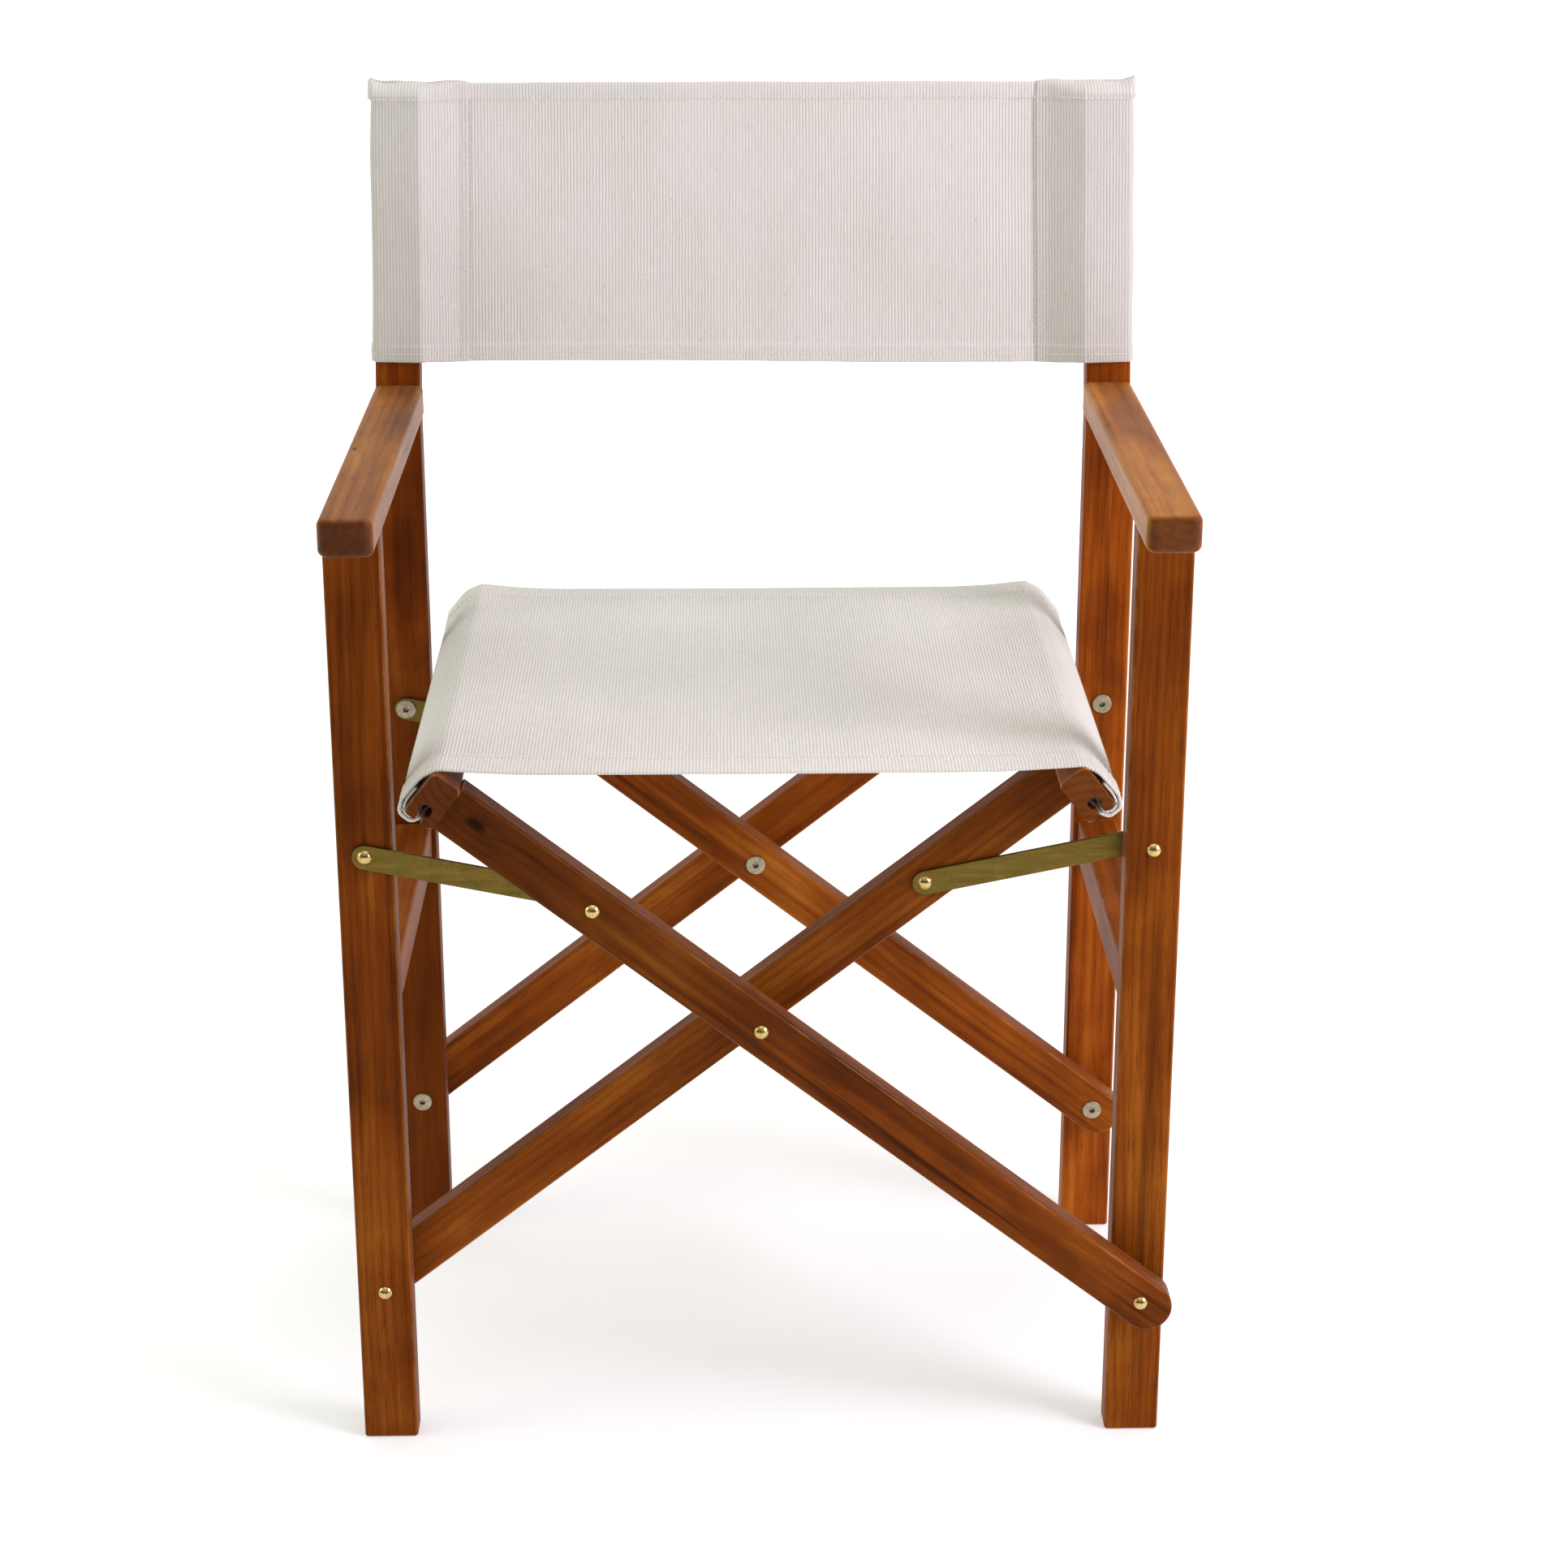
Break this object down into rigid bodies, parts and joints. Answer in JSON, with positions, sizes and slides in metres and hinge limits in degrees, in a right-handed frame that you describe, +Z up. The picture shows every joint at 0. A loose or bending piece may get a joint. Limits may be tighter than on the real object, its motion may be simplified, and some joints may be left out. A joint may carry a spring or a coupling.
{
  "type": "folding chair",
  "caption": "Folding director's chair with scissor bars, armrests, a slung canvas seat and a slung canvas back on a stained hardwood frame.",
  "frame": {"origin": "on the floor at the middle of the chair's overall box", "axes": "+Z up, the seat faces -Y, +X to the right seen from the front"},
  "size_m": [0.5474, 0.4564, 0.87],
  "materials": {
    "stained_wood": "oiled reddish-brown stain",
    "dowel_wood": "plain",
    "canvas": "ribbed natural cotton canvas",
    "brass_plate": "polished brass plate",
    "nut_plate": "pale brass plate",
    "yellow_zinc": "yellow zinc plate",
    "rod_steel": "drawn"
  },
  "bodies": {
    "left_side": {"left_front_leg": "stained_wood", "left_rear_leg": "stained_wood", "left_armrest": "stained_wood", "left_side_rail": "stained_wood", "left_frame_dowels": "dowel_wood", "left_pivot_bolts": "brass_plate", "left_pivot_nuts": "nut_plate", "left_pivot_spacers": "nut_plate", "left_link_bolts": "brass_plate", "left_link_nuts": "nut_plate", "left_back_sleeve": "canvas", "back_panel": "canvas"},
    "right_side": {"right_front_leg": "stained_wood", "right_rear_leg": "stained_wood", "right_armrest": "stained_wood", "right_side_rail": "stained_wood", "right_frame_dowels": "dowel_wood", "right_pivot_bolts": "brass_plate", "right_pivot_nuts": "nut_plate", "right_pivot_spacers": "nut_plate", "right_link_bolts": "brass_plate", "right_link_nuts": "nut_plate", "right_back_sleeve": "canvas"},
    "seat_frame_left": {"left_seat_rail": "stained_wood", "left_rail_front_bar": "stained_wood", "left_rail_rear_bar": "stained_wood", "left_rail_dowels": "dowel_wood", "left_bar_fasteners": "brass_plate", "left_sling_rod": "rod_steel", "left_seat_hem": "canvas"},
    "seat_frame_right": {"right_seat_rail": "stained_wood", "right_rail_front_bar": "stained_wood", "right_rail_rear_bar": "stained_wood", "right_rail_dowels": "dowel_wood", "right_bar_fasteners": "brass_plate", "right_sling_rod": "rod_steel", "right_seat_hem": "canvas", "cross_bolts": "brass_plate", "cross_nuts": "nut_plate", "cross_spacers": "nut_plate", "seat_panel": "canvas"},
    "left_front_link": {"left_front_link": "yellow_zinc", "left_front_link_stud": "brass_plate"},
    "left_rear_link": {"left_rear_link": "yellow_zinc", "left_rear_link_stud": "brass_plate"},
    "right_front_link": {"right_front_link": "yellow_zinc", "right_front_link_stud": "brass_plate"},
    "right_rear_link": {"right_rear_link": "yellow_zinc", "right_rear_link_stud": "brass_plate"}
  },
  "joints": [
    {"name": "fold", "type": "hinge", "parent": "left_side", "child": "seat_frame_right", "pos_m": [-0.2525, -0.00475, 0.11], "axis": [0, -1, 0], "range_deg": [0, 37.78], "deforming": ["seat_panel", "back_panel"]},
    {"name": "scissor", "type": "hinge", "parent": "seat_frame_right", "child": "seat_frame_left", "pos_m": [0, -0.00475, 0.3095], "axis": [0, -1, 0], "range_deg": [-83.42, 0]},
    {"name": "right_side_pivot", "type": "hinge", "parent": "seat_frame_left", "child": "right_side", "pos_m": [0.2525, -0.00475, 0.11], "axis": [0, -1, 0], "range_deg": [0, 37.8]},
    {"name": "left_front_link_pivot", "type": "hinge", "parent": "left_side", "child": "left_front_link", "pos_m": [-0.2525, -0.16705, 0.424], "axis": [0, -1, 0], "range_deg": [0, 76.55]},
    {"name": "left_rear_link_pivot", "type": "hinge", "parent": "left_side", "child": "left_rear_link", "pos_m": [-0.2525, 0.13295, 0.424], "axis": [0, -1, 0], "range_deg": [0, 76.55]},
    {"name": "right_front_link_pivot", "type": "hinge", "parent": "right_side", "child": "right_front_link", "pos_m": [0.2525, -0.14245, 0.424], "axis": [0, -1, 0], "range_deg": [-76.55, 0]},
    {"name": "right_rear_link_pivot", "type": "hinge", "parent": "right_side", "child": "right_rear_link", "pos_m": [0.2525, 0.15755, 0.424], "axis": [0, -1, 0], "range_deg": [-76.55, 0]}
  ],
  "couplings": [
    {"joint": "scissor", "follows": "fold", "ratio": -2.2066},
    {"joint": "right_side_pivot", "follows": "fold", "ratio": 1},
    {"joint": "left_front_link_pivot", "follows": "fold", "ratio": 2.025},
    {"joint": "left_rear_link_pivot", "follows": "fold", "ratio": 2.025},
    {"joint": "right_front_link_pivot", "follows": "fold", "ratio": -2.025},
    {"joint": "right_rear_link_pivot", "follows": "fold", "ratio": -2.025}
  ]
}
